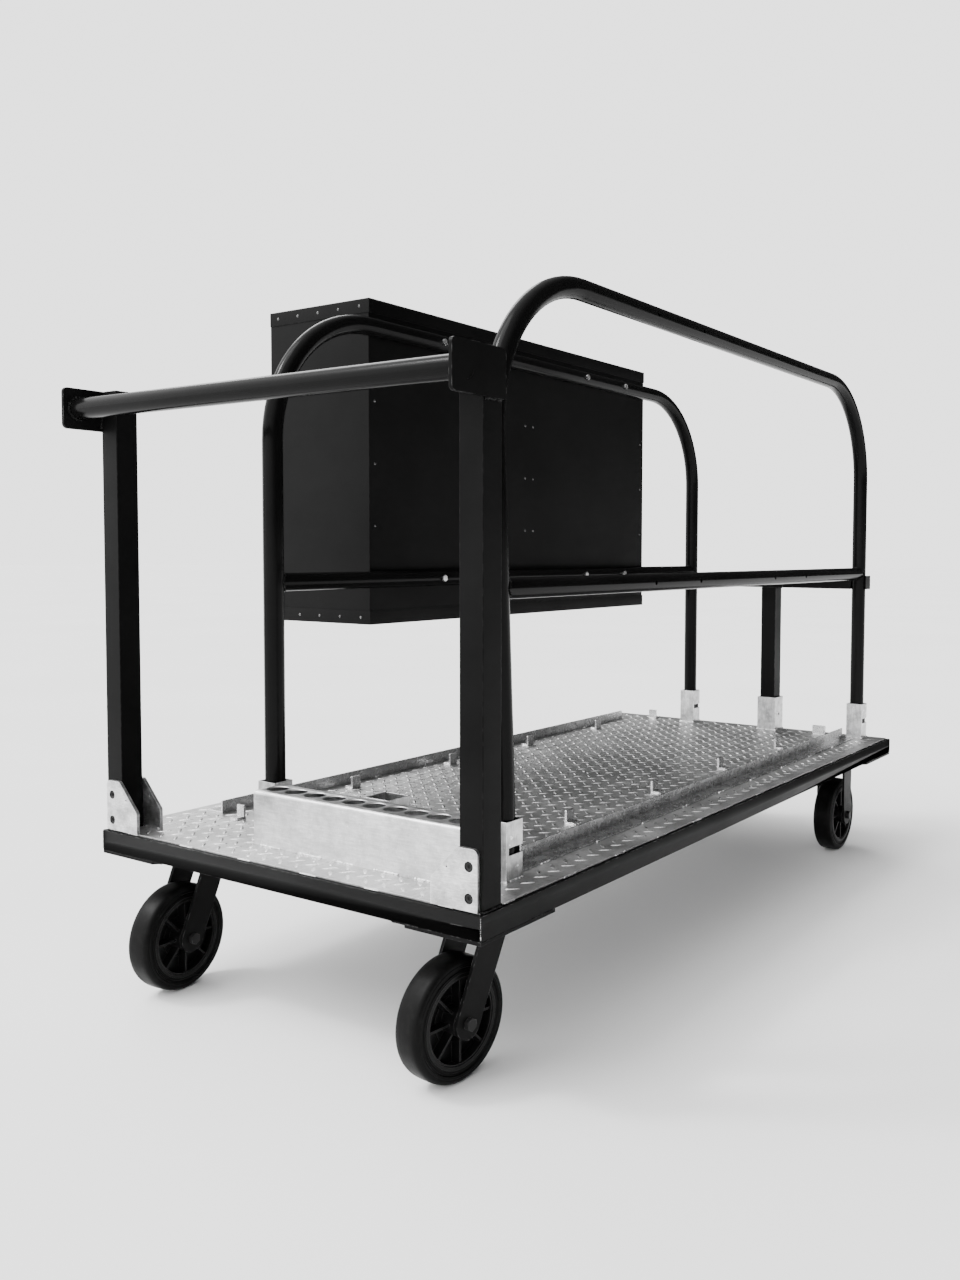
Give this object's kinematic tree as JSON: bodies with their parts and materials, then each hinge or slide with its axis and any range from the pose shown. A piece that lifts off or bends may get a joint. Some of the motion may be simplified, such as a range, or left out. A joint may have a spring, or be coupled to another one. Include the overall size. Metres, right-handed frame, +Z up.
{
  "type": "hotel luggage cart",
  "caption": "Long flat-bed luggage and equipment cart with a push handle, lift-out tube hoops, a storage box hung on one hoop, a stake holder and swivel and rigid casters.",
  "frame": {"origin": "centre of the deck plate's top face", "axes": "+X to the cart's right, +Y from the handle end to the far end, +Z up out of the deck"},
  "size_m": [0.9716, 1.973, 1.36],
  "materials": {
    "powder_black": "satin black powder coat, lightly textured",
    "box_black": "satin black painted sheet",
    "bare_aluminium": "bare mill-finish aluminium with faint scratches",
    "tread_aluminium": "bright aluminium tread plate, worn in patches",
    "screw_black": "black oxide",
    "rivet_black": "painted rivet heads",
    "zinc_bolt": "bright zinc plate",
    "hinge_steel": "black painted hinge",
    "fork_black": "satin black paint",
    "wheel_rubber": "smooth matt rubber",
    "hub_plastic": "moulded black, satin",
    "bearing_steel": "bare steel"
  },
  "bodies": {
    "cart": {"deck_frame": "powder_black", "tread_plate": "tread_aluminium", "deck_rivets": "zinc_bolt", "handle_post_left": "powder_black", "handle_post_right": "powder_black", "handle_plates": "powder_black", "handle_bar": "powder_black", "gusset_plates": "bare_aluminium", "post_screws": "screw_black", "hoop_sockets": "bare_aluminium", "t_socket_rear": "bare_aluminium", "t_socket_front": "bare_aluminium", "angle_rail_right": "bare_aluminium", "angle_rail_left": "bare_aluminium", "deck_clips": "bare_aluminium", "stake_holder": "bare_aluminium", "corner_plates": "powder_black", "caster_bolts": "zinc_bolt", "caster_base_fl": "fork_black", "caster_base_fr": "fork_black", "caster_fork_rl": "fork_black", "caster_axle_rl": "zinc_bolt", "caster_fork_rr": "fork_black", "caster_axle_rr": "zinc_bolt"},
    "swivel_fl": {"caster_fork_fl": "fork_black", "caster_axle_fl": "zinc_bolt"},
    "wheel_fl": {"caster_tyre_fl": "wheel_rubber", "caster_hub_fl": "hub_plastic", "caster_bearing_fl": "bearing_steel"},
    "swivel_fr": {"caster_fork_fr": "fork_black", "caster_axle_fr": "zinc_bolt"},
    "wheel_fr": {"caster_tyre_fr": "wheel_rubber", "caster_hub_fr": "hub_plastic", "caster_bearing_fr": "bearing_steel"},
    "wheel_rl": {"caster_tyre_rl": "wheel_rubber", "caster_hub_rl": "hub_plastic", "caster_bearing_rl": "bearing_steel"},
    "wheel_rr": {"caster_tyre_rr": "wheel_rubber", "caster_hub_rr": "hub_plastic", "caster_bearing_rr": "bearing_steel"},
    "right_hoop": {"hoop_tube_right": "powder_black", "lower_rail_right": "powder_black"},
    "left_hoop": {"hoop_tube_left": "powder_black", "lower_rail_left": "powder_black", "box_shell": "box_black", "box_top": "box_black", "box_bottom": "box_black", "box_partition": "box_black", "box_rivets": "rivet_black", "box_bolts": "zinc_bolt", "hinge_fixed_leaves": "hinge_steel"},
    "cross_bar": {"t_post": "powder_black", "t_bar": "powder_black"},
    "door_front": {"box_door_front": "box_black", "hinge_leaf_front": "hinge_steel", "door_pull_front": "hinge_steel"},
    "door_rear": {"box_door_rear": "box_black", "hinge_leaf_rear": "hinge_steel", "door_pull_rear": "hinge_steel"}
  },
  "joints": [
    {"name": "swivel_fl", "type": "hinge", "parent": "cart", "child": "swivel_fl", "pos_m": [-0.3452, -0.8115, -0.062], "axis": [0, 0, 1], "continuous": true},
    {"name": "spin_fl", "type": "hinge", "parent": "swivel_fl", "child": "wheel_fl", "pos_m": [-0.3383, -0.87714, -0.206], "axis": [0.9945, 0.1045, 0], "continuous": true},
    {"name": "swivel_fr", "type": "hinge", "parent": "cart", "child": "swivel_fr", "pos_m": [0.3452, -0.8115, -0.062], "axis": [0, 0, 1], "continuous": true},
    {"name": "spin_fr", "type": "hinge", "parent": "swivel_fr", "child": "wheel_fr", "pos_m": [0.3383, -0.87714, -0.206], "axis": [0.9945, -0.1045, 0], "continuous": true},
    {"name": "spin_rl", "type": "hinge", "parent": "cart", "child": "wheel_rl", "pos_m": [-0.3452, 0.8115, -0.206], "axis": [1, 0, 0], "continuous": true},
    {"name": "spin_rr", "type": "hinge", "parent": "cart", "child": "wheel_rr", "pos_m": [0.3452, 0.8115, -0.206], "axis": [1, 0, 0], "continuous": true},
    {"name": "right_hoop_lift", "type": "slide", "parent": "cart", "child": "right_hoop", "axis": [0, 0, 1], "range_m": [0, 0.11]},
    {"name": "left_hoop_lift", "type": "slide", "parent": "cart", "child": "left_hoop", "axis": [0, 0, 1], "range_m": [0, 0.11]},
    {"name": "cross_bar_lift", "type": "slide", "parent": "cart", "child": "cross_bar", "axis": [0, 0, 1], "range_m": [0, 0.11]},
    {"name": "door_front_hinge", "type": "hinge", "parent": "left_hoop", "child": "door_front", "pos_m": [-0.48475, -0.48265, 0.7155], "axis": [0, 0, 1], "range_deg": [0, 110]},
    {"name": "door_rear_hinge", "type": "hinge", "parent": "left_hoop", "child": "door_rear", "pos_m": [-0.48475, 0.61165, 0.7155], "axis": [0, 0, -1], "range_deg": [0, 110]}
  ]
}
